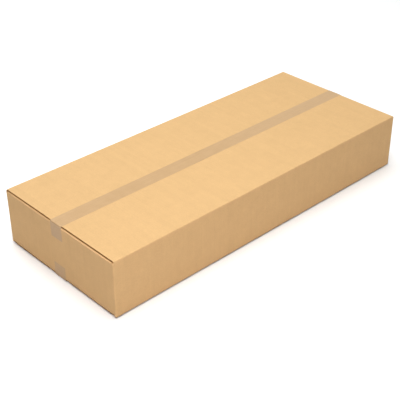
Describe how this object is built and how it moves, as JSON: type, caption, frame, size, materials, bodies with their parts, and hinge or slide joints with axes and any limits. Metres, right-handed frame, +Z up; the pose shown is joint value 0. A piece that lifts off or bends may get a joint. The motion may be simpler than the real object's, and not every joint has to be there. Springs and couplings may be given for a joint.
{
  "type": "closed cardboard box",
  "caption": "Long, flat shipping carton of plain brown corrugated board, folded shut and sealed along its top and bottom seams with tan packing tape",
  "frame": {"origin": "middle of the underside, on the surface that the box stands on", "axes": "+X along the length, away from the short end that the picture shows; +Y across the width, away from the long side that the picture shows; +Z up, out of the taped top"},
  "size_m": [1.1804, 0.49, 0.1852],
  "materials": {
    "board": "matte",
    "tape": "satin"
  },
  "bodies": {
    "root": {"carton": "board", "top_tape": "tape", "bottom_tape": "tape"}
  },
  "joints": []
}
